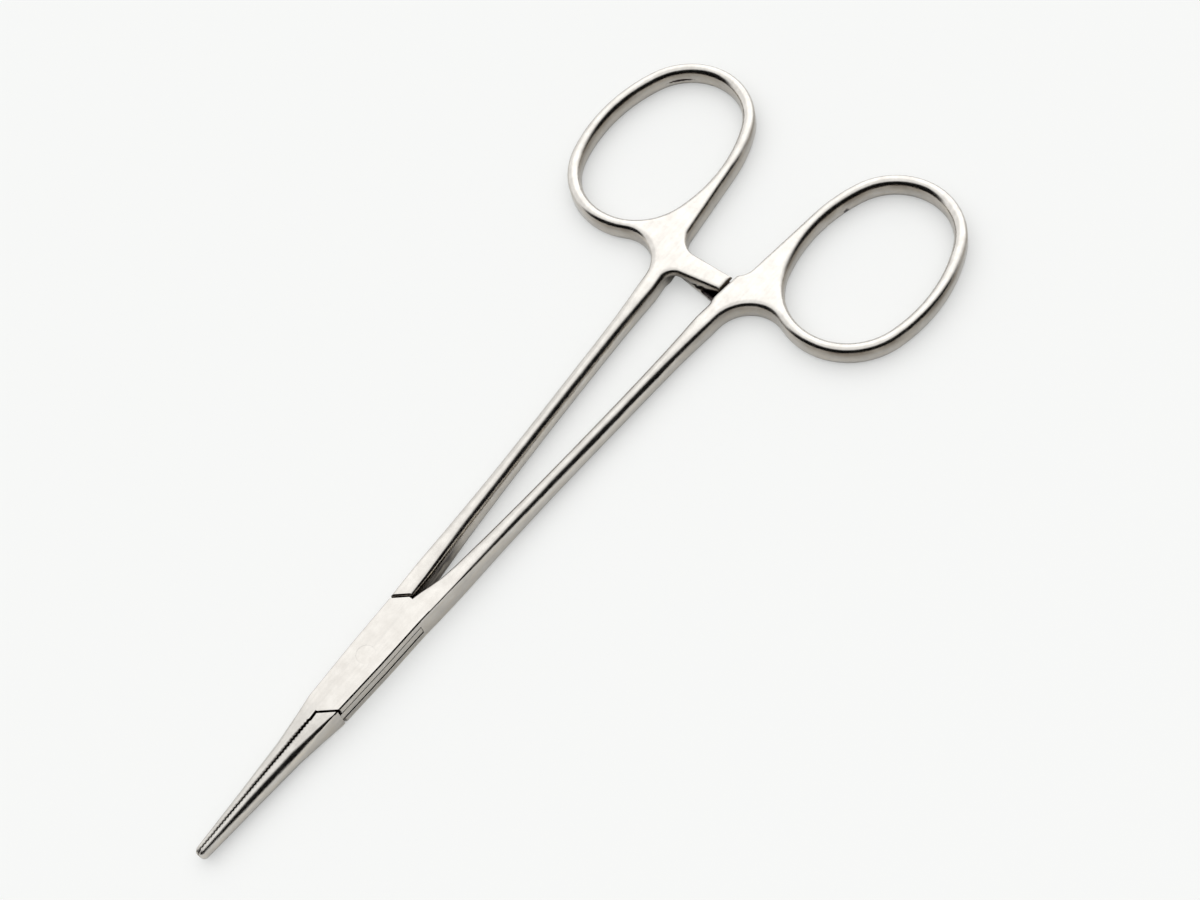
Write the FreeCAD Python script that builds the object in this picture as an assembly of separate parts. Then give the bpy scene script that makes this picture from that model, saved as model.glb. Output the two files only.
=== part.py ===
import FreeCAD, Part
import math
import os
from FreeCAD import Vector

# Straight mosquito forceps, 12.5 cm class, closed on its ratchet.
# Three pieces: the female half with the box, the male half with the tongue, and the rivet.
# X runs along the instrument with the tips at -X, +Z is the front face that lies up,
# and the pivot axis stands on the origin, with the back of the box on z = 0. Sizes in mm.

# Box lock
box_thick = 3.8            # over both cheeks
tongue_thick = 1.3         # plate of the male half between the cheeks
slot_play = 0.05           # each side of the tongue
slot_radius = 7.5          # the two ends of the slot are arcs about the pivot
slot_end_play = 0.05
tongue_recess = 0.04       # sides of the tongue below the sides of the box
window_bevel = 0.1         # broken edges of the tongue and of the windows it shows in
box_half_width = 2.55      # at the pivot
box_end_x = 7.0            # where the shanks leave it
box_end_half_width = 2.7
box_bevel = 0.16           # broken long edges
cheek_shank_tip = (8.97, 0.66)    # corner of the cheek between the two shanks
cheek_jaw_tip = (-9.06, 0.0)      # corner of the cheek where the jaws part
cheek_slant = 51.0         # degrees between the cheek's cut ends and the X axis
shoulder_gap = 0.32        # cheek end to the shoulder of the male half
shoulder_bevel = 0.2
web_clear = 0.16           # male shank's inner side to the female half's web

# Rivet
pin_radius = 1.25
pin_press_play = 0.004
pin_run_play = 0.03
pin_recess = 0.02          # each end below the face of the box

# Jaws
tip_reach = 31.0           # pivot axis to the tips
tip_half_width = 0.7       # where the rounded nose begins
tip_thick = 2.2
nose_length = 0.75
nose_flat = 0.35           # share of the width and thickness left at the very end
jaw_root_x = -8.2
jaw_root_half_width = 2.22
jaw_round_tip = 0.6        # corner radii of the pair: at the nose, along the jaws, at the box
jaw_round = 1.3
jaw_round_root = 0.24
tip_gap = 0.17             # the jaws meet at the tips first
root_gap = 0.4
tooth_pitch = 0.5
tooth_depth = 0.15
plain_tip = 0.6            # smooth ends of each jaw's biting face
plain_root = 0.9

# Male half's shank: x, inner side, outer side, thickness, corner radii of the inner and outer side
shank_stations = [
    (box_end_x, 0.46, box_end_half_width, box_thick, 0.30, 0.22),
    (13.0, 0.66, 3.06, 3.72, 0.70, 0.28),
    (20.0, 1.28, 3.40, 3.42, 0.90, 0.60),
    (31.0, 2.02, 4.02, 3.02, 0.95, 0.95),
    (45.0, 2.82, 4.88, 2.90, 0.98, 0.98),
    (55.0, 3.30, 5.46, 3.02, 0.95, 0.90),
    (61.0, 3.50, 6.02, 3.15, 0.75, 0.75),
]
# The female shank starts wider, as the gusset that carries both cheeks
female_root_stations = [
    (box_end_x, -0.50, box_end_half_width, box_thick, 0.22, 0.22),
    (9.05, -0.26, 2.84, 3.79, 0.22, 0.22),
    (10.25, 0.03, 2.90, 3.78, 0.25, 0.23),
    (11.7, 0.43, 2.98, 3.76, 0.33, 0.25),
    (13.2, 0.78, 3.07, 3.72, 0.45, 0.28),
    (15.5, 1.02, 3.19, 3.63, 0.62, 0.40),
]
station_step = 5.0

# Finger rings: the hole is an oval of four arcs
ring_band = 1.75
ring_axis_y = 17.38        # long axis of the oval, off the instrument's own axis
near_arc_x = 75.88
near_arc_radius = 8.62
far_arc_x = 84.92
far_arc_radius = 7.97
side_arc_radius = 21.2
hole_round = 0.9
neck_radius = 5.0          # hollow between the shank's outer side and the ring
web_point = (71.0, 5.35)   # on the straight side that runs into the ring

# Ratchet arms
arm_far_x = 68.4           # edge towards the rings
arm_near_x = 65.1          # edge towards the jaws, at the shank
arm_near_tip_x = 65.75
arm_tip_y = -3.85
arm_round = 0.4            # breaking of the arm's edges
arm_end_bevel = 0.12
arm_far_fillet = 2.9
arm_near_fillet = 1.5
arm_clear = 0.05           # half the space between the two rows of teeth
flank_slope = 0.118        # side of the shank that the other arm's end faces
ratchet_teeth = 3
ratchet_pitch = 1.1
ratchet_depth = 0.5
ratchet_first_y = 0.9
ramp_rise = 1.0

edge_steps = 3             # facets that make up a quarter round
mid_z = box_thick / 2
head_thick = shank_stations[-1][3]
head_round = shank_stations[-1][4]
beyond = 3 * box_end_half_width    # clear of the sides of the box and the jaws


def plan_face(points):
    """Flat face in the plan from a closed list of corner points."""
    corners = [Vector(x, y, 0) for x, y in points]
    return Part.Face(Part.makePolygon(corners + corners[:1]))


def slab(face, z_low, z_high):
    lifted = face.copy()
    lifted.translate(Vector(0, 0, z_low))
    return lifted.extrude(Vector(0, 0, z_high - z_low))


def through(face):
    return slab(face, -1, box_thick + 1)


def quarter_round(radius):
    """Setback from the edge and drop from the face, from the face to the wall."""
    turns = [math.radians(90 * k / edge_steps) for k in range(edge_steps + 1)]
    return [(radius * (1 - math.sin(t)), radius * (1 - math.cos(t))) for t in turns]


# Bars built from cross-sections

def round_section(x, y_low, y_high, thick, radius_low, radius_high):
    """Rounded rectangle across the X axis, centred on the middle plane, a radius for each side."""
    most = 0.49 * min(y_high - y_low, thick)
    low = quarter_round(min(radius_low, most))
    high = quarter_round(min(radius_high, most))
    z_low = mid_z - thick / 2
    z_high = mid_z + thick / 2
    points = [Vector(x, y_high - a, z_low + b) for a, b in high]
    points += [Vector(x, y_high - a, z_high - b) for a, b in reversed(high)]
    points += [Vector(x, y_low + a, z_high - b) for a, b in low]
    points += [Vector(x, y_low + a, z_low + b) for a, b in reversed(low)]
    return Part.makePolygon(points + points[:1])


def loft(wires):
    return Part.makeLoft(wires, True, True)


def eased(rows, step):
    """The rows with more between them on a smooth curve, at most a step apart."""
    slopes = []
    for k in range(len(rows)):
        a = rows[max(k - 1, 0)]
        b = rows[min(k + 1, len(rows) - 1)]
        slopes.append([(q - p) / (b[0] - a[0]) for p, q in zip(a, b)])
    filled = []
    for a, b, slope_a, slope_b in zip(rows, rows[1:], slopes, slopes[1:]):
        span = b[0] - a[0]
        parts = max(1, math.ceil(span / step))
        for j in range(parts):
            t = j / parts
            blend = 3 * t ** 2 - 2 * t ** 3
            swing_a = (t ** 3 - 2 * t ** 2 + t) * span
            swing_b = (t ** 3 - t ** 2) * span
            row = [p + blend * (q - p) + swing_a * m + swing_b * n
                   for p, q, m, n in zip(a, b, slope_a, slope_b)]
            filled.append(tuple([a[0] + t * span] + row[1:]))
    return filled + [rows[-1]]


def shank(rows, end_wire):
    """Shank from its stations, ending in the section that the neck of the ring starts with."""
    sections = [round_section(*row) for row in eased(rows, station_step)]
    return loft(sections[:-1] + [end_wire])


def jaw_pair():
    """Both closed jaws as one tapered bar with rounded corners and a rounded nose."""
    nose_x = nose_length - tip_reach
    sections = []
    for k in range(4):
        turn = math.radians(90 * k / 4)
        share = nose_flat + (1 - nose_flat) * math.sin(turn)
        x = nose_x - nose_length * math.cos(turn)
        sections.append((x, tip_half_width * share, tip_thick * share, jaw_round_tip * share))
    between = (jaw_round + jaw_round_root) / 2
    roundings = [jaw_round_tip, 0.8 * jaw_round, jaw_round, between, jaw_round_root]
    for share, radius in zip((0, 0.35, 0.7, 0.88, 1), roundings):
        half = tip_half_width + share * (jaw_root_half_width - tip_half_width)
        thick = tip_thick + share * (box_thick - tip_thick)
        sections.append((nose_x + share * (jaw_root_x - nose_x), half, thick, radius))
    return loft([round_section(x, -half, half, thick, r, r) for x, half, thick, r in sections])


def side_of_box(x):
    """Half width of the closed instrument from the jaws to the start of the shanks."""
    stations = [
        (nose_length - tip_reach, tip_half_width),
        (jaw_root_x, jaw_root_half_width),
        (0.0, box_half_width),
        (box_end_x, box_end_half_width),
        (box_end_x + 4, box_end_half_width + 0.2),
    ]
    for (x0, y0), (x1, y1) in zip(stations, stations[1:]):
        if x <= x1:
            return y0 + (y1 - y0) * (x - x0) / (x1 - x0)
    return stations[-1][1]


def bevelled_bar(x_stations, inset, z_low, z_high, bevel):
    """Bar that follows the sides of the box, moved in by the inset, with bevelled edges."""
    wires = []
    for x in x_stations:
        y = side_of_box(x) - inset
        a = z_low + bevel
        b = z_high - bevel
        c = y - bevel
        right = [(c, z_low), (y, a), (y, b), (c, z_high)]
        left = [(-p, q) for p, q in reversed(right)]
        points = [Vector(x, p, q) for p, q in right + left]
        wires.append(Part.makePolygon(points + points[:1]))
    return loft(wires)


def window_flare(x_stations, side, z_low, z_high):
    """Wedge that breaks the edges of a window in the side of the box."""
    wires = []
    for x in x_stations:
        deep = side * (side_of_box(x) - window_bevel)
        proud = side * (side_of_box(x) + window_bevel)
        spread = 2 * window_bevel
        corners = [(deep, z_low), (proud, z_low - spread), (proud, z_high + spread), (deep, z_high)]
        points = [Vector(x, p, q) for p, q in corners]
        wires.append(Part.makePolygon(points + points[:1]))
    return loft(wires)


def bite_line(side):
    """Serrated edge of one jaw's region in the plan: side is +1 for the female jaw."""
    start = plain_tip - tip_reach
    stop = cheek_jaw_tip[0] - plain_root
    count = int((stop - start) / tooth_pitch)
    points = [(-tip_reach - 1, side * tip_gap / 2)]
    for k in range(count + 1):
        x = start + k * tooth_pitch
        gap = tip_gap + (root_gap - tip_gap) * (x - start) / (stop - start)
        points.append((x, side * gap / 2 - tooth_depth / 2))
        if k < count:
            points.append((x + tooth_pitch / 2, side * gap / 2 + tooth_depth / 2))
    points.append((cheek_jaw_tip[0], side * root_gap / 2))
    return points


def slant(tip, y, shift=0.0):
    """Point at height y on a cheek's cut end; the shift moves that line away from the pivot."""
    turn = math.radians(cheek_slant)
    away = math.copysign(shift / math.sin(turn), tip[0])
    return (tip[0] + away - (y - tip[1]) / math.tan(turn), y)


# Finger ring with its neck and ratchet arm

def ring_arcs(grow):
    """Centres and radii of the oval's four tangent arcs, grown outwards."""
    d_near = side_arc_radius - near_arc_radius
    d_far = side_arc_radius - far_arc_radius
    span = far_arc_x - near_arc_x
    along = (d_near ** 2 - d_far ** 2 + span ** 2) / (2 * span)
    drop = math.sqrt(d_near ** 2 - along ** 2)
    return {
        "near": (Vector(near_arc_x, ring_axis_y, 0), near_arc_radius + grow),
        "far": (Vector(far_arc_x, ring_axis_y, 0), far_arc_radius + grow),
        "outer": (Vector(near_arc_x + along, ring_axis_y - drop, 0), side_arc_radius + grow),
        "inner": (Vector(near_arc_x + along, ring_axis_y + drop, 0), side_arc_radius + grow),
    }


def toward(centre, radius, target):
    return centre + (target - centre).normalize() * radius


def outline_wire(corners, links, inset, z):
    """Closed wire through the corners, each moved along its own inward vector.

    A link is None for a straight, or (centre, hollow) for an arc to the next corner."""
    points = [p + inward * (inset * size) for p, inward, size in corners]
    edges = []
    for k, link in enumerate(links):
        a = points[k]
        b = points[(k + 1) % len(points)]
        if link is None:
            edges.append(Part.makeLine(a, b))
            continue
        centre, bulge = link
        radius = ((a - centre).Length + (b - centre).Length) / 2
        middle = ((a + b) * 0.5 - centre).normalize() * radius
        if middle.dot(bulge) < 0:
            middle = middle * -1
        edges.append(Part.Arc(a, centre + middle, b).toShape())
    wire = Part.Wire(edges)
    wire.translate(Vector(0, 0, z))
    return wire


def rounded_plate(corners, links):
    """Plate as thick as the ring, with its front and back edges rounded."""
    z_low = mid_z - head_thick / 2
    z_high = mid_z + head_thick / 2
    steps = quarter_round(head_round)
    levels = [(a, z_low + b) for a, b in steps] + [(a, z_high - b) for a, b in reversed(steps)]
    return loft([outline_wire(corners, links, a / head_round, z) for a, z in levels])


def neck_section(corners):
    """Section that the plate starts with at the neck, its points in the order of round_section."""
    (low, low_in, _), (high, high_in, _) = corners[:2]
    z_low = Vector(0, 0, mid_z - head_thick / 2)
    z_high = Vector(0, 0, mid_z + head_thick / 2)
    steps = quarter_round(head_round)
    points = [high + high_in * a + z_low + Vector(0, 0, b) for a, b in steps]
    points += [high + high_in * a + z_high - Vector(0, 0, b) for a, b in reversed(steps)]
    points += [low + low_in * a + z_high - Vector(0, 0, b) for a, b in steps]
    points += [low + low_in * a + z_low + Vector(0, 0, b) for a, b in reversed(steps)]
    return Part.makePolygon(points + points[:1])


def ring_hole():
    """The finger hole with its two rims rounded, as a plug to be cut out."""
    arcs = ring_arcs(0.0)
    joints = []
    for end, side in (("near", "inner"), ("near", "outer"), ("far", "outer"), ("far", "inner")):
        point = toward(arcs[side][0], arcs[side][1], arcs[end][0])
        outward = (point - arcs[side][0]).normalize()
        joints.append((point, outward, 1.0))
    links = [
        (arcs["near"][0], Vector(-1, 0, 0)),
        (arcs["outer"][0], Vector(0, 1, 0)),
        (arcs["far"][0], Vector(1, 0, 0)),
        (arcs["inner"][0], Vector(0, -1, 0)),
    ]
    z_low = mid_z - head_thick / 2
    z_high = mid_z + head_thick / 2
    steps = quarter_round(hole_round)
    levels = [(hole_round, z_low - 1)] + [(a, z_low + b) for a, b in steps]
    levels += [(a, z_high - b) for a, b in reversed(steps)] + [(hole_round, z_high + 1)]
    return loft([outline_wire(joints, links, a, z) for a, z in levels])


def head_outline():
    """Corners and links round the neck, the ring and the ratchet arm of the male half."""
    arcs = ring_arcs(ring_band)
    before, last = shank_stations[-2:]
    neck_in = Vector(last[0], last[1], 0)
    neck_out = Vector(last[0], last[2], 0)
    full = head_round
    fine = arm_round
    # Hollow of the neck, tangent to the shank's outer side and to the ring's near arc
    run = (neck_out - Vector(before[0], before[2], 0)).normalize()
    up = Vector(-run.y, run.x, 0)
    near, near_r = arcs["near"]
    base = neck_out + up * neck_radius
    offset = base - near
    b = offset.dot(run)
    c = offset.dot(offset) - (near_r + neck_radius) ** 2
    hollow = base - run * (b + math.sqrt(b * b - c))
    near_touch = toward(near, near_r, hollow)
    # Oval round to the straight that comes down to the arm
    web = Vector(web_point[0], web_point[1], 0)
    inner, inner_r = arcs["inner"]
    reach = inner - web
    turn = math.atan2(reach.y, reach.x) - math.asin(inner_r / reach.Length)
    line = Vector(math.cos(turn), math.sin(turn), 0)
    line_touch = web + line * math.sqrt(reach.Length ** 2 - inner_r ** 2)
    joint_outer_near = toward(arcs["outer"][0], arcs["outer"][1], near)
    joint_outer_far = toward(arcs["outer"][0], arcs["outer"][1], arcs["far"][0])
    joint_inner_far = toward(inner, inner_r, arcs["far"][0])
    # Hollow between that straight and the arm's far edge
    below = Vector(line.y, -line.x, 0)
    foot = web + below * arm_far_fillet
    pocket = foot + line * ((arm_far_x + arm_far_fillet - foot.x) / line.x)
    pocket_touch = pocket - below * arm_far_fillet
    arm_far = Vector(arm_far_x, pocket.y, 0)
    # Hollow between the arm's near edge and the shank's inner side
    tip_far = Vector(arm_far_x, arm_tip_y, 0)
    tip_near = Vector(arm_near_tip_x, arm_tip_y + 0.1, 0)
    edge = (Vector(arm_near_x, 1.0, 0) - tip_near).normalize()
    edge_out = Vector(-edge.y, edge.x, 0)
    side = Vector(1, flank_slope, 0).normalize()
    side_out = Vector(side.y, -side.x, 0)
    gap = neck_in + side_out * arm_near_fillet - tip_near - edge_out * arm_near_fillet
    root = tip_near + edge_out * arm_near_fillet + edge * ((gap.y * side.x - gap.x * side.y)
                                                           / (edge.y * side.x - edge.x * side.y))
    corners = [
        (neck_in, Vector(0, 1 / side.x, 0), full),
        (neck_out, Vector(0, -1 / run.x, 0), full),
        (hollow - up * neck_radius, up * -1, full),
        (near_touch, (near - near_touch).normalize(), full),
        (joint_outer_near, (near - joint_outer_near).normalize(), full),
        (joint_outer_far, (arcs["far"][0] - joint_outer_far).normalize(), full),
        (joint_inner_far, (inner - joint_inner_far).normalize(), full),
        (line_touch, (inner - line_touch).normalize(), full),
        (pocket_touch, below * -1, (full + fine) / 2),
        (arm_far, Vector(-1, 0, 0), fine),
        (tip_far, Vector(-1, arm_end_bevel / fine, 0), fine),
        (tip_near, Vector(1, arm_end_bevel / fine, 0), fine),
        (root - edge_out * arm_near_fillet, edge_out * -1, fine),
        (root - side_out * arm_near_fillet, side_out * -1, full),
    ]
    links = [
        None,
        None,
        (hollow, Vector(1, -1, 0)),
        (near, Vector(-1, 0.5, 0)),
        (arcs["outer"][0], Vector(0, 1, 0)),
        (arcs["far"][0], Vector(1, 0, 0)),
        (inner, Vector(0, -1, 0)),
        None,
        (pocket, Vector(-1, 1, 0)),
        None,
        None,
        None,
        (root, Vector(1, 1, 0)),
        None,
    ]
    return corners, links


def arm_underside(flank):
    """Space below the male half's arm: flat root, sawteeth and a ramp at the end."""
    crest = mid_z + arm_clear
    valley = crest + ratchet_depth
    points = [(30.0, -5.0), (30.0, valley), (ratchet_first_y, valley)]
    y = ratchet_first_y
    for k in range(ratchet_teeth):
        points.append((y, crest))
        y -= ratchet_pitch
        if k < ratchet_teeth - 1:
            points.append((y, valley))
    points += [(arm_tip_y - 0.1, crest + ramp_rise), (-10.0, crest + ramp_rise), (-10.0, -5.0)]
    corners = [Vector(flank.x, y, z) for y, z in points]
    profile = Part.Face(Part.makePolygon(corners + corners[:1]))
    reach = arm_far_x + 2.4 - flank.x
    plan = plan_face([
        (flank.x, flank.y),
        (flank.x + reach, flank.y + flank_slope * reach),
        (flank.x + reach, -10.0),
        (flank.x, -10.0),
    ])
    return profile.extrude(Vector(reach, 0, 0)).common(through(plan))


def turned(shape):
    """The shape turned half round about the X line in the middle plane."""
    copy = shape.copy()
    copy.rotate(Vector(0, 0, mid_z), Vector(1, 0, 0), 180)
    return copy


def hole_at_pivot(radius):
    return Part.makeCylinder(radius, box_thick + 2, Vector(0, 0, -1))


outline, outline_links = head_outline()
head = rounded_plate(outline, outline_links).cut(ring_hole())
head = head.cut(arm_underside(outline[-1][0])).removeSplitter()
neck_x = shank_stations[-1][0]
neck_wire = neck_section(outline)

box_stations = [jaw_root_x, 0.0, box_end_x, box_end_x + 2.2]
outside = jaw_pair().fuse(bevelled_bar(box_stations, 0.0, 0.0, box_thick, box_bevel)).removeSplitter()
tongue_low = mid_z - tongue_thick / 2
tongue_high = mid_z + tongue_thick / 2
slot_low = tongue_low - slot_play
slot_high = tongue_high + slot_play

# Slot of the female half: two arcs about the pivot, open to one side at each end
slot = Part.makeCylinder(slot_radius, slot_high - slot_low, Vector(0, 0, slot_low))
male_side = shank_stations[0][1]
web_y = male_side - web_clear
closed_x = math.sqrt(slot_radius ** 2 - box_end_half_width ** 2)
past_shank = box_end_x + 4
past_jaw = jaw_root_x - 2.5
shank_opening = plan_face([(0, web_y), (past_shank, web_y), (past_shank, beyond), (0, beyond)])
jaw_opening = plan_face([(0, 0), (past_jaw, 0), (past_jaw, -beyond), (0, -beyond)])
slot = slot.fuse([
    slab(shank_opening, slot_low, slot_high),
    slab(jaw_opening, slot_low, slot_high),
    window_flare([-closed_x, 0.0, box_end_x, past_shank], 1, slot_low, slot_high),
    window_flare([past_jaw, jaw_root_x, 0.0, closed_x], -1, slot_low, slot_high),
])

# Female half: jaw on the +Y side, box, shank and ring on the -Y side
female_plan = bite_line(1) + [
    cheek_jaw_tip,
    slant(cheek_jaw_tip, -beyond),
    (cheek_shank_tip[0], -beyond),
    cheek_shank_tip,
    slant(cheek_shank_tip, beyond),
    (-tip_reach - 1, beyond),
]
female_core = outside.common(through(plan_face(female_plan)))
female_shank = turned(shank(female_root_stations + shank_stations[2:], neck_wire))
female_half = female_core.fuse([female_shank, turned(head)])
female_half = female_half.cut(slot).cut(hole_at_pivot(pin_radius + pin_press_play)).removeSplitter()

# Male half: jaw on the -Y side, tongue, shank and ring on the +Y side
male_jaw_plan = bite_line(-1)[:-1] + [
    slant(cheek_jaw_tip, -root_gap / 2, shoulder_gap),
    slant(cheek_jaw_tip, -beyond, shoulder_gap),
    (-tip_reach - 1, -beyond),
]
male_jaw = outside.common(through(plan_face(male_jaw_plan)))
shoulder_plan = [
    slant(cheek_shank_tip, beyond, shoulder_gap),
    slant(cheek_shank_tip, -1.0, shoulder_gap),
    (neck_x + 1, -1.0),
    (neck_x + 1, beyond),
]
male_shank = shank(shank_stations, neck_wire).common(through(plan_face(shoulder_plan)))
shoulder_foot = Vector(*slant(cheek_shank_tip, 0, shoulder_gap), 0)
shoulder_away = Vector(math.sin(math.radians(cheek_slant)), math.cos(math.radians(cheek_slant)), 0)
shoulder_edges = [
    e for e in male_shank.Edges
    if e.Length > 1.0
    and all(abs((v.Point - shoulder_foot).dot(shoulder_away)) < 1e-5 for v in e.Vertexes)
    and min(abs(v.Z - mid_z) for v in e.Vertexes) > box_thick / 2 - 0.1
]
male_shank = male_shank.makeChamfer(shoulder_bevel, shoulder_edges)
tongue = Part.makeCylinder(slot_radius - slot_end_play, tongue_thick, Vector(0, 0, tongue_low))
jaw_y = -root_gap / 2
in_shank = box_end_x + 2.1
to_shank = plan_face([(0, male_side), (in_shank, male_side), (in_shank, beyond), (0, beyond)])
to_jaw = plan_face([(0, jaw_y), (past_jaw, jaw_y), (past_jaw, -beyond), (0, -beyond)])
tongue = tongue.fuse([slab(to_shank, tongue_low, tongue_high), slab(to_jaw, tongue_low, tongue_high)])
tongue_stations = [past_jaw, jaw_root_x, 0.0, box_end_x, in_shank]
tongue = tongue.common(bevelled_bar(tongue_stations, tongue_recess, tongue_low, tongue_high, window_bevel))
male_half = male_jaw.fuse([tongue, male_shank, head])
male_half = male_half.cut(hole_at_pivot(pin_radius + pin_run_play)).removeSplitter()

joint_pin = Part.makeCylinder(pin_radius, box_thick - 2 * pin_recess, Vector(0, 0, pin_recess))

os.makedirs("parts", exist_ok=True)
for name, shape in (("female_half", female_half), ("male_half", male_half), ("joint_pin", joint_pin)):
    shape.exportStep("parts/" + name + ".step")
    print(name, len(shape.Solids), shape.isValid(), round(shape.Volume, 1), len(shape.Faces), shape.BoundBox)
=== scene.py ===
import bpy
import math
from mathutils import Matrix, Vector

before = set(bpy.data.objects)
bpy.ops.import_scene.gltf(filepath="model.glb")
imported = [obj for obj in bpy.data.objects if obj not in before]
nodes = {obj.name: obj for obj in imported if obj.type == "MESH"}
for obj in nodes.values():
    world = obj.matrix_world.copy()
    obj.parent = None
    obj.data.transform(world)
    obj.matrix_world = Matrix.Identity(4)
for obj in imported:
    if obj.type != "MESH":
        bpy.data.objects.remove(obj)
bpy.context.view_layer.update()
print("frame loaded", sorted(nodes))


# small node helpers
def addNode(tree, kind, place, **values):
    node = tree.nodes.new(kind)
    node.location = place
    for key, value in values.items():
        setattr(node, key, value)
    return node


def link(tree, source, target):
    tree.links.new(source, target)


# a socket takes either another node's output or a fixed value
def feed(tree, value, socket):
    if isinstance(value, bpy.types.NodeSocket):
        link(tree, value, socket)
    else:
        socket.default_value = value


def addMath(tree, operation, place, *values):
    node = addNode(tree, "ShaderNodeMath", place, operation=operation)
    for socket, value in zip(node.inputs, values):
        feed(tree, value, socket)
    return node.outputs[0]


def addVectorMath(tree, operation, place, *values):
    node = addNode(tree, "ShaderNodeVectorMath", place, operation=operation)
    for socket, value in zip(node.inputs, values):
        feed(tree, value, socket)
    return node


# a value between low and high, laid over start to finish
def addRamp(tree, value, low, high, place, start=0.0, finish=1.0, easing="SMOOTHSTEP"):
    ramp = addNode(tree, "ShaderNodeMapRange", place, interpolation_type=easing)
    feed(tree, low, ramp.inputs["From Min"])
    feed(tree, high, ramp.inputs["From Max"])
    feed(tree, start, ramp.inputs["To Min"])
    feed(tree, finish, ramp.inputs["To Max"])
    link(tree, value, ramp.inputs["Value"])
    return ramp.outputs["Result"]


def addMix(tree, kind, factor, a, b, place, **values):
    mix = addNode(tree, "ShaderNodeMix", place, data_type=kind, **values)
    feed(tree, factor, mix.inputs["Factor"])
    feed(tree, a, mix.inputs["A"])
    feed(tree, b, mix.inputs["B"])
    return mix.outputs["Result"]


def addNoise(tree, vector, pattern, place):
    scale, detail, roughness = pattern
    noise = addNode(tree, "ShaderNodeTexNoise", place)
    noise.inputs["Scale"].default_value = scale
    noise.inputs["Detail"].default_value = detail
    noise.inputs["Roughness"].default_value = roughness
    link(tree, vector, noise.inputs["Vector"])
    return noise.outputs["Fac"]


def addStretch(tree, vector, scale, place):
    stretch = addNode(tree, "ShaderNodeMapping", place)
    stretch.inputs["Scale"].default_value = scale
    link(tree, vector, stretch.inputs["Vector"])
    return stretch.outputs[0]


def addBump(tree, height, normal, strength, distance, place):
    bump = addNode(tree, "ShaderNodeBump", place)
    bump.inputs["Strength"].default_value = strength
    bump.inputs["Distance"].default_value = distance
    link(tree, height, bump.inputs["Height"])
    link(tree, normal, bump.inputs["Normal"])
    return bump.outputs["Normal"]


def addGroup(tree, group, place, inputs):
    node = addNode(tree, "ShaderNodeGroup", place, node_tree=group)
    for label, value in inputs.items():
        node.inputs[label].default_value = value
    return node


def newGroup(name, inputs, outputs):
    group = bpy.data.node_groups.new(name, "ShaderNodeTree")
    for label, kind, default in inputs:
        socket = group.interface.new_socket(label, in_out="INPUT", socket_type=kind)
        if default is not None:
            socket.default_value = default
    for label, kind in outputs:
        group.interface.new_socket(label, in_out="OUTPUT", socket_type=kind)
    start = addNode(group, "NodeGroupInput", (-900, 0))
    end = addNode(group, "NodeGroupOutput", (700, 0))
    return group, start, end


# the piece's own coordinates, times the group's Scale
def addSizedPlace(group, start, place):
    x, y = place
    coord = addNode(group, "ShaderNodeTexCoord", (x, y))
    sized = addNode(group, "ShaderNodeVectorMath", (x + 200, y), operation="SCALE")
    link(group, coord.outputs["Object"], sized.inputs[0])
    link(group, start.outputs["Scale"], sized.inputs["Scale"])
    return sized.outputs[0]


# 1 on the upright side walls and 0 on the flats, fading between two leans of the surface
def addWallMask(group, leans, place):
    x, y = place
    surface = addNode(group, "ShaderNodeNewGeometry", (x, y))
    tilt = addNode(group, "ShaderNodeSeparateXYZ", (x + 200, y))
    link(group, surface.outputs["Normal"], tilt.inputs[0])
    upright = addMath(group, "ABSOLUTE", (x + 350, y), tilt.outputs["Z"])
    return addRamp(group, upright, *leans, (x + 500, y), 1.0, 0.0)


# satin grain: short scratches along the instrument over a fine blasted speckle, and a cloudy patch mask
satin = {
    "scratchStretch": (900.0, 9000.0, 9000.0),  # per metre, along and across
    "scratch": (1.0, 3.0, 0.5),  # each noise is scale, detail, roughness
    "speckle": (6500.0, 2.0, 0.5),
    "patch": (560.0, 5.0, 0.62),
    "patchEdge": (0.33, 0.67),
    "streakStretch": (60.0, 1700.0, 1700.0),
    "streak": (1.0, 4.0, 0.5),
    "height": 0.00001,
}


def makeSatinGrain():
    group, start, end = newGroup(
        "Satin grain",
        [("Scale", "NodeSocketFloat", 1.0), ("Brush", "NodeSocketFloat", 0.5)],
        [("Height", "NodeSocketFloat"), ("Patch", "NodeSocketFloat"), ("Streak", "NodeSocketFloat")],
    )
    sized = addSizedPlace(group, start, (-900, -250))
    along = addStretch(group, sized, satin["scratchStretch"], (-500, 50))
    scratch = addNoise(group, along, satin["scratch"], (-300, 100))
    speckle = addNoise(group, sized, satin["speckle"], (-300, -150))
    height = addMix(group, "FLOAT", start.outputs["Brush"], speckle, scratch, (0, 0))
    cloudy = addNoise(group, sized, satin["patch"], (-300, -400))
    patch = addRamp(group, cloudy, *satin["patchEdge"], (0, -400), easing="LINEAR")
    drawn = addStretch(group, sized, satin["streakStretch"], (-500, -650))
    streak = addNoise(group, drawn, satin["streak"], (-300, -650))
    link(group, height, end.inputs["Height"])
    link(group, patch, end.inputs["Patch"])
    link(group, streak, end.inputs["Streak"])
    return group


# painted shade that stays dark in the slot, the gaps and the teeth, where little open space is around
creviceShade = {
    "lean": (0.0, 0.0, 0.6),  # looks a little upward, so the table counts less than steel across the gap
    "full": 0.6,  # share of open space below which a spot is fully dark
    "foot": 0.0002,  # the table shades the foot of each wall as well, and that shade is kept out of the mask
    "samples": 16,
}


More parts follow.
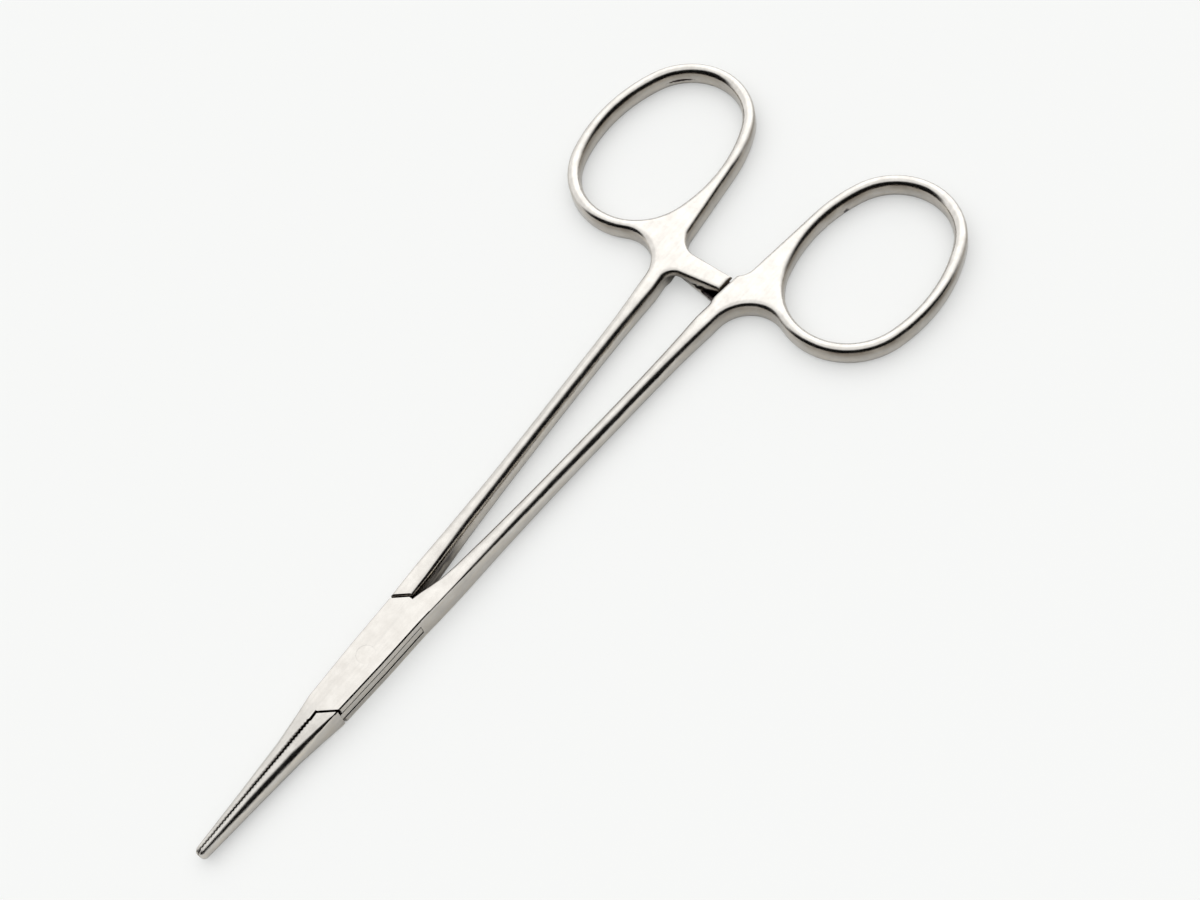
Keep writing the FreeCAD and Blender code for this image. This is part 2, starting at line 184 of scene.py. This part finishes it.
def makeCreviceShade():
    group, start, end = newGroup(
        "Crevice shade",
        [
            ("Reach", "NodeSocketFloat", 0.0005),
            ("Open", "NodeSocketFloat", 0.55),
            ("Floor", "NodeSocketFloat", 0.0008),
        ],
        [("Mask", "NodeSocketFloat")],
    )
    surface = addNode(group, "ShaderNodeNewGeometry", (-1100, 0))
    leaned = addVectorMath(group, "ADD", (-900, 0), surface.outputs["Normal"], creviceShade["lean"])
    upward = addVectorMath(group, "NORMALIZE", (-700, 0), leaned.outputs[0])
    hidden = addNode(group, "ShaderNodeAmbientOcclusion", (-500, 0), samples=creviceShade["samples"])
    link(group, start.outputs["Reach"], hidden.inputs["Distance"])
    link(group, upward.outputs[0], hidden.inputs["Normal"])
    dark = addRamp(group, hidden.outputs["AO"], creviceShade["full"], start.outputs["Open"], (-200, 0), 1.0, 0.0)
    coord = addNode(group, "ShaderNodeTexCoord", (-900, -300))
    apart = addNode(group, "ShaderNodeSeparateXYZ", (-700, -300))
    link(group, coord.outputs["Object"], apart.inputs[0])
    lifted = addRamp(group, apart.outputs["Z"], creviceShade["foot"], start.outputs["Floor"], (-450, -300))
    mask = addMath(group, "MULTIPLY", (200, 0), dark, lifted)
    link(group, mask, end.inputs["Mask"])
    return group


# hand grinding left on the side walls: long shallow waves that run round the piece, as bumps; the same
# waves on the walls also mask a painted reflection of a beige table
grindingAndReflection = {
    "waveStretch": (420.0, 420.0, 1900.0),
    "wave": (1.0, 4.0, 0.6),
    "leans": (0.55, 0.97),  # flats were finished on a wheel and have none of it
    "reflectionEdge": (0.35, 0.75),
    "strength": 0.6,
    "height": 0.00006,
}


def makeForgeMarksAndReflection():
    group, start, end = newGroup(
        "Forge marks and wall reflection",
        [("Scale", "NodeSocketFloat", 1.0), ("Depth", "NodeSocketFloat", 1.0)],
        [("Height", "NodeSocketFloat"), ("Stain", "NodeSocketFloat")],
    )
    sized = addSizedPlace(group, start, (-900, 0))
    stretched = addStretch(group, sized, grindingAndReflection["waveStretch"], (-500, 0))
    wave = addNoise(group, stretched, grindingAndReflection["wave"], (-300, 0))
    wall = addWallMask(group, grindingAndReflection["leans"], (-900, -300))
    masked = addMath(group, "MULTIPLY", (0, -100), wave, wall)
    deep = addMath(group, "MULTIPLY", (250, 0), masked, start.outputs["Depth"])
    link(group, deep, end.inputs["Height"])
    link(group, masked, end.inputs["Stain"])
    return group


# one small dark mark at a place on the piece
markShape = {
    "ragged": (3500.0, 2.0, 0.5),
    "edge": (1.0, 1.5),
}


def makeSmudge():
    group, start, end = newGroup(
        "Smudge",
        [
            ("Place", "NodeSocketVector", None),
            ("Size", "NodeSocketVector", None),
            ("Turn", "NodeSocketFloat", 0.0),
        ],
        [("Mask", "NodeSocketFloat")],
    )
    coord = addNode(group, "ShaderNodeTexCoord", (-1100, 0))
    away = addVectorMath(group, "SUBTRACT", (-900, 0), coord.outputs["Object"], start.outputs["Place"])
    turned = addNode(group, "ShaderNodeVectorRotate", (-700, 0), rotation_type="Z_AXIS")
    link(group, away.outputs[0], turned.inputs["Vector"])
    link(group, start.outputs["Turn"], turned.inputs["Angle"])
    share = addVectorMath(group, "DIVIDE", (-500, 0), turned.outputs[0], start.outputs["Size"])
    reach = addVectorMath(group, "LENGTH", (-300, 0), share.outputs[0])
    ragged = addNoise(group, coord.outputs["Object"], markShape["ragged"], (-500, -250))
    total = addMath(group, "ADD", (-100, 0), reach.outputs["Value"], ragged)
    mask = addRamp(group, total, *markShape["edge"], (100, 0), 1.0, 0.0)
    link(group, mask, end.inputs["Mask"])
    return group


# painted shade and reflection: the side walls go brown towards their upper edge, more and more towards
# the rings, and most on the side that faces Toward
brownShading = {
    "leans": (0.45, 0.9),
    "faced": (0.0, 0.8),  # how squarely a wall faces Toward
    "leastFaced": 0.12,
    "cloud": (260.0, 3.0, 0.5),
    "cloudEdge": (0.3, 0.6),
    "leastCloud": 0.6,
}


def makeBrownWallShade():
    group, start, end = newGroup(
        "Brown wall shade",
        [
            ("Low", "NodeSocketFloat", 0.001),
            ("High", "NodeSocketFloat", 0.003),
            ("Start", "NodeSocketFloat", 0.05),
            ("Full", "NodeSocketFloat", 0.07),
            ("Toward", "NodeSocketVector", None),
        ],
        [("Mask", "NodeSocketFloat")],
    )
    coord = addNode(group, "ShaderNodeTexCoord", (-900, 200))
    apart = addNode(group, "ShaderNodeSeparateXYZ", (-700, 200))
    link(group, coord.outputs["Object"], apart.inputs[0])
    height = addRamp(group, apart.outputs["Z"], start.outputs["Low"], start.outputs["High"], (-400, 300))
    along = addRamp(group, apart.outputs["X"], start.outputs["Start"], start.outputs["Full"], (-400, 50))
    wall = addWallMask(group, brownShading["leans"], (-900, -250))
    turned = addVectorMath(
        group, "DOT_PRODUCT", (-700, 500), coord.outputs["Normal"], start.outputs["Toward"]
    )
    faced = addRamp(
        group, turned.outputs["Value"], *brownShading["faced"], (-400, 550), brownShading["leastFaced"]
    )
    cloud = addNoise(group, coord.outputs["Object"], brownShading["cloud"], (-400, -500))
    uneven = addRamp(
        group, cloud, *brownShading["cloudEdge"], (-150, -500), brownShading["leastCloud"], easing="LINEAR"
    )
    mask = height
    for k, part in enumerate((along, wall, uneven, faced)):
        mask = addMath(group, "MULTIPLY", (180 * k, 100), mask, part)
    link(group, mask, end.inputs["Mask"])
    return group


# edges rubbed round in use, apart from the box, which keeps its crisp ones
wear = {
    "fadeIn": 0.004,  # beyond the ends of the box
    "samples": 8,
}


def makeWornEdges():
    group, start, end = newGroup(
        "Worn edges",
        [
            ("Radius", "NodeSocketFloat", 0.0005),
            ("Box Middle", "NodeSocketFloat", 0.0),
            ("Box Half", "NodeSocketFloat", 0.01),
        ],
        [("Normal", "NodeSocketVector")],
    )
    coord = addNode(group, "ShaderNodeTexCoord", (-900, -200))
    apart = addNode(group, "ShaderNodeSeparateXYZ", (-700, -200))
    link(group, coord.outputs["Object"], apart.inputs[0])
    shifted = addMath(group, "SUBTRACT", (-500, -200), apart.outputs["X"], start.outputs["Box Middle"])
    away = addMath(group, "ABSOLUTE", (-300, -200), shifted)
    past = addMath(group, "SUBTRACT", (-100, -200), away, start.outputs["Box Half"])
    radius = addRamp(group, past, 0.0, wear["fadeIn"], (100, -100), 0.0, start.outputs["Radius"])
    worn = addNode(group, "ShaderNodeBevel", (400, 0), samples=wear["samples"])
    link(group, radius, worn.inputs["Radius"])
    link(group, worn.outputs["Normal"], end.inputs["Normal"])
    return group


satinGrain = makeSatinGrain()
wornEdges = makeWornEdges()
crevice = makeCreviceShade()
forgeMarksAndReflection = makeForgeMarksAndReflection()
brownWallShade = makeBrownWallShade()
smudge = makeSmudge()


def makeSteel(name, look):
    mat = bpy.data.materials.new(name)
    mat.use_nodes = True
    tree = mat.node_tree
    shader = tree.nodes["Principled BSDF"]
    shader.inputs["Metallic"].default_value = 1.0
    grain = addGroup(tree, satinGrain, (-1000, 0), {
        "Scale": look["grainScale"],
        "Brush": look["brush"],
    })
    gap = addGroup(tree, crevice, (-1000, 300), {
        "Reach": look["creviceReach"],
        "Open": look["creviceOpen"],
    })
    forgeAndReflection = addGroup(tree, forgeMarksAndReflection, (-1000, -300), {
        "Scale": look["grainScale"],
        "Depth": look["forgeDepth"],
    })
    brown = addGroup(tree, brownWallShade, (-1000, 600), {
        "Low": look["shadeLow"],
        "High": look["shadeHigh"],
        "Start": look["shadeStart"],
        "Full": look["shadeFull"],
        "Toward": look["shadeToward"],
    })
    worn = addGroup(tree, wornEdges, (-1000, -600), {
        "Radius": look["wornRadius"],
        "Box Middle": look["boxMiddle"],
        "Box Half": look["boxHalf"],
    })

    # colour, from the bare metal outwards
    dark, light, stainAndShade, wall, brownShade = (
        (*look[key], 1) for key in ("dark", "light", "stainAndShade", "wall", "brownWallShade")
    )
    patch = grain.outputs["Patch"]
    colour = addMix(tree, "RGBA", patch, dark, light, (-700, 250))
    streak = grain.outputs["Streak"]
    colour = addMix(tree, "RGBA", look["streak"], colour, streak, (-500, 250), blend_type="MULTIPLY")
    # painted shade: the slot, the gaps and the teeth go dark where little open space is around them
    colour = addMix(tree, "RGBA", gap.outputs["Mask"], colour, stainAndShade, (-250, 250))
    # painted reflection of a beige table on the side walls, patchy along the grinding waves
    reflectedShare = addRamp(
        tree, forgeAndReflection.outputs["Stain"], *grindingAndReflection["reflectionEdge"], (-250, 500),
        finish=look["wallShare"], easing="LINEAR",
    )
    colour = addMix(tree, "RGBA", reflectedShare, colour, wall, (-50, 450))
    # painted shade: the side walls go dark brown towards their upper edge, most on the side that faces
    # Toward
    amount = addMath(tree, "MULTIPLY", (-250, 700), brown.outputs["Mask"], look["shadeShare"])
    colour = addMix(tree, "RGBA", amount, colour, brownShade, (50, 550))
    for k, (place, size, turn) in enumerate(look["marks"]):
        spot = addGroup(tree, smudge, (-400, 700 + 200 * k), {
            "Place": place,
            "Size": size,
            "Turn": math.radians(turn),
        })
        colour = addMix(tree, "RGBA", spot.outputs["Mask"], colour, stainAndShade, (150, 450 + 200 * k))
    link(tree, colour, shader.inputs["Base Color"])

    rough = addRamp(tree, patch, 0.0, 1.0, (-500, 0), *look["rough"], easing="LINEAR")
    link(tree, rough, shader.inputs["Roughness"])

    # worn edges first, then the grinding waves, then the grain
    normal = addBump(
        tree, forgeAndReflection.outputs["Height"], worn.outputs["Normal"],
        grindingAndReflection["strength"], grindingAndReflection["height"], (-550, -350),
    )
    normal = addBump(tree, grain.outputs["Height"], normal, look["bump"], satin["height"], (-300, -250))
    link(tree, normal, shader.inputs["Normal"])
    return mat


# the steel that all three are made of, ground and glass-blasted
steelLook = {
    "grainScale": 1.0,
    "brush": 0.55,
    "streak": 0.2,
    "dark": (0.57, 0.545, 0.512),
    "light": (0.67, 0.647, 0.612),
    # dark of the marks, and of the painted shade in the slot and the gaps
    "stainAndShade": (0.03, 0.022, 0.022),
    "rough": (0.12, 0.18),
    "bump": 0.4,
    "wornRadius": 0.0007,
    "boxMiddle": 0.0022,  # along the instrument, from the pivot
    "boxHalf": 0.0117,
    "creviceReach": 0.0026,
    "creviceOpen": 0.9,
    # brown of the painted shade on the walls
    "brownWallShade": (0.085, 0.06, 0.034),
    "shadeShare": 0.9,
    "shadeLow": 0.0012,
    "shadeHigh": 0.0034,
    "shadeStart": 0.045,
    "shadeFull": 0.068,
    "shadeToward": (-0.45, -0.89, 0.0),
    "forgeDepth": 1.0,
    # beige of a painted table reflection on the side walls
    "wall": (0.60, 0.54, 0.45),
    "wallShare": 0.7,
    "marks": [],  # place, size, turn in degrees
}
femaleLook = {
    **steelLook,
    # nick on the rim of the hole
    "marks": [((0.0858, -0.0093, 0.0011), (0.0006, 0.0007, 0.0007), 0)],
}
maleLook = {
    **steelLook,
    "grainScale": 1.07,
    "brush": 0.5,
    "dark": (0.565, 0.54, 0.508),
    "light": (0.67, 0.647, 0.61),
    # thin dark line in the wall of the hole
    "marks": [((0.0907, 0.0228, 0.0017), (0.0024, 0.0010, 0.00028), 46)],
}
pinLook = {
    **steelLook,
    "grainScale": 1.2,
    "brush": 0.6,
    "streak": 0.1,
    "rough": (0.16, 0.24),
    "creviceReach": 0.0003,
    "creviceOpen": 0.8,
    "shadeShare": 0.0,
    "forgeDepth": 0.3,
    # beige of a painted table reflection on the side walls
    "wall": (0.60, 0.56, 0.51),
    "wallShare": 0.3,
}
# one surface per piece again, shaded smooth across the stepped roundings
smoothing = {
    "weldWithin": 1e-7,
    "flatWithin": 0.15,  # degrees
    "crispFrom": 38,  # degrees
    "flatWeight": 80,
}
for name, look in (("female_half", femaleLook), ("male_half", maleLook), ("joint_pin", pinLook)):
    obj = nodes[name]
    obj.data.materials.clear()
    obj.data.materials.append(makeSteel(name + "_steel", look))
    weld = obj.modifiers.new("weld", "WELD")
    weld.merge_threshold = smoothing["weldWithin"]
    plain = obj.modifiers.new("whole flats", "DECIMATE")
    plain.decimate_type = "DISSOLVE"
    plain.angle_limit = math.radians(smoothing["flatWithin"])
    split = obj.modifiers.new("crisp edges", "EDGE_SPLIT")
    split.split_angle = math.radians(smoothing["crispFrom"])
    split.use_edge_sharp = False
    smooth = obj.modifiers.new("flats stay flat", "WEIGHTED_NORMAL")
    smooth.mode = "FACE_AREA"
    smooth.weight = smoothing["flatWeight"]
print("steel made")

# floor
floor = {
    "size": 6.0,
    "middle": (0.03, 0, 0),
    "light": (0.955, 0.96, 0.955),
    "dark": (0.94, 0.945, 0.94),
    "cloud": (3.0, 2.0, 0.5),
    "rough": 0.9,
    "shadowFill": 0.4,
    "seen": (0.915, 0.925, 0.915),
}
bpy.ops.mesh.primitive_plane_add(size=floor["size"], location=floor["middle"])
floorObject = bpy.context.object
floorObject.name = "table_top"
floorMat = bpy.data.materials.new("table_top")
floorMat.use_nodes = True
tree = floorMat.node_tree
shader = tree.nodes["Principled BSDF"]
shader.inputs["Roughness"].default_value = floor["rough"]
shader.inputs["Specular IOR Level"].default_value = 0.0
coord = addNode(tree, "ShaderNodeTexCoord", (-900, 0))
cloud = addNoise(tree, coord.outputs["Object"], floor["cloud"], (-600, 0))
tone = addMix(tree, "RGBA", cloud, (*floor["dark"], 1), (*floor["light"], 1), (-300, 0))
link(tree, tone, shader.inputs["Base Color"])
# the camera sees the shadow softened by painted fill light: for camera rays part of the table glows
# evenly
paths = addNode(tree, "ShaderNodeLightPath", (-300, 500))
fill = addMath(tree, "MULTIPLY", (0, 450), paths.outputs["Is Camera Ray"], floor["shadowFill"])
glow = addNode(tree, "ShaderNodeEmission", (0, 250))
glow.inputs["Color"].default_value = (*floor["seen"], 1)
softened = addNode(tree, "ShaderNodeMixShader", (500, 200))
link(tree, fill, softened.inputs["Fac"])
link(tree, shader.outputs["BSDF"], softened.inputs[1])
link(tree, glow.outputs["Emission"], softened.inputs[2])
link(tree, softened.outputs["Shader"], tree.nodes["Material Output"].inputs["Surface"])
floorObject.data.materials.append(floorMat)
print("floor made")

# light: a white room, unlit behind the camera
room = {
    "colour": (1.0, 1.0, 0.995),
    "white": 1.3,
    "lamp": 0.7,
    "lampToward": (0.8, 0.3, 0.52),
    "lampEdge": (0.70, 0.90),
    "panel": 0.35,
    "panelToward": (0.154, 0.449, 0.88),
    "panelEdge": (0.9935, 0.9993),
    "darkToward": (-0.707, -0.707, 0.0),
    "darkWidth": (-0.25, 0.15),
    "darkHeight": (0.965, 0.84),  # lit above the first, unlit below the second
    "darkLevel": 0.005,
    "table": 0.415,
    "tableLamp": 1.18,
    "tableToward": (0.03, 0.12, 0.99),
    "tableEdge": (0.45, 0.95),
    "seen": 0.98,
}
world = bpy.data.worlds.new("white room")
bpy.context.scene.world = world
world.use_nodes = True
tree = world.node_tree
tree.nodes.clear()
output = addNode(tree, "ShaderNodeOutputWorld", (1100, 0))
background = addNode(tree, "ShaderNodeBackground", (900, 0))
link(tree, background.outputs[0], output.inputs["Surface"])
background.inputs["Color"].default_value = (*room["colour"], 1)
ray = addNode(tree, "ShaderNodeTexCoord", (-1100, 0)).outputs["Generated"]


def facing(vector, direction, place):
    toward = Vector(direction).normalized()
    return addVectorMath(tree, "DOT_PRODUCT", place, vector, toward).outputs["Value"]


lampward = facing(ray, room["lampToward"], (-900, 300))
lamp = addRamp(tree, lampward, *room["lampEdge"], (-700, 300), finish=room["lamp"])
panelward = facing(ray, room["panelToward"], (-900, 500))
panel = addRamp(tree, panelward, *room["panelEdge"], (-700, 500), finish=room["panel"])
bright = addMath(tree, "ADD", (-300, 200), lamp, room["white"])
bright = addMath(tree, "ADD", (-100, 200), bright, panel)
# compass bearing of the ray, whatever its height
flat = addVectorMath(tree, "MULTIPLY", (-900, -150), ray, (1.0, 1.0, 0.0))
bearing = addVectorMath(tree, "NORMALIZE", (-700, -150), flat.outputs[0])
darkward = facing(bearing.outputs[0], room["darkToward"], (-500, -150))
side = addRamp(tree, darkward, *room["darkWidth"], (-300, -150))
upward = facing(ray, (0, 0, 1), (-900, -400))
low = addRamp(tree, upward, *room["darkHeight"], (-500, -400))
shade = addMath(tree, "MULTIPLY", (-100, -200), side, low)
mirrored = addMix(tree, "FLOAT", shade, bright, room["darkLevel"], (200, 0))
# only the steel mirrors the room, the table is lit softly from above
above = facing(ray, room["tableToward"], (-900, 700))
soft = addRamp(tree, above, *room["tableEdge"], (-700, 700), finish=room["tableLamp"])
soft = addMath(tree, "ADD", (-300, 600), soft, room["table"])
paths = addNode(tree, "ShaderNodeLightPath", (200, 300))
seen = addMix(tree, "FLOAT", paths.outputs["Is Camera Ray"], soft, room["seen"], (400, 300))
strength = addMix(tree, "FLOAT", paths.outputs["Is Glossy Ray"], seen, mirrored, (600, 0))
link(tree, strength, background.inputs["Strength"])
print("light made")

# camera, as the photograph was taken
shot = {
    "azimuth": -34.06,  # degrees
    "elevation": 59.51,
    "roll": -19.02,
    "place": (-0.0437, -0.1275, 0.2529),
    "lens": 68.91,  # millimetres
    "sensor": 36.0,
    "nearest": 0.01,
    "farthest": 20.0,
}
az, el, roll = (math.radians(shot[k]) for k in ("azimuth", "elevation", "roll"))
back = Vector((math.sin(az) * math.cos(el), -math.cos(az) * math.cos(el), math.sin(el)))
level = Vector((math.cos(az), math.sin(az), 0))
upright = back.cross(level)
right = level * math.cos(roll) + upright * math.sin(roll)
up = back.cross(right)
cameraData = bpy.data.cameras.new("camera")
cameraData.lens = shot["lens"]
cameraData.sensor_width = shot["sensor"]
cameraData.clip_start = shot["nearest"]
cameraData.clip_end = shot["farthest"]
camera = bpy.data.objects.new("camera", cameraData)
bpy.context.scene.collection.objects.link(camera)
camera.matrix_world = Matrix((
    (right.x, up.x, back.x, shot["place"][0]),
    (right.y, up.y, back.y, shot["place"][1]),
    (right.z, up.z, back.z, shot["place"][2]),
    (0, 0, 0, 1),
))
bpy.context.scene.camera = camera
bpy.context.scene.view_settings.view_transform = "Standard"
print("camera made")
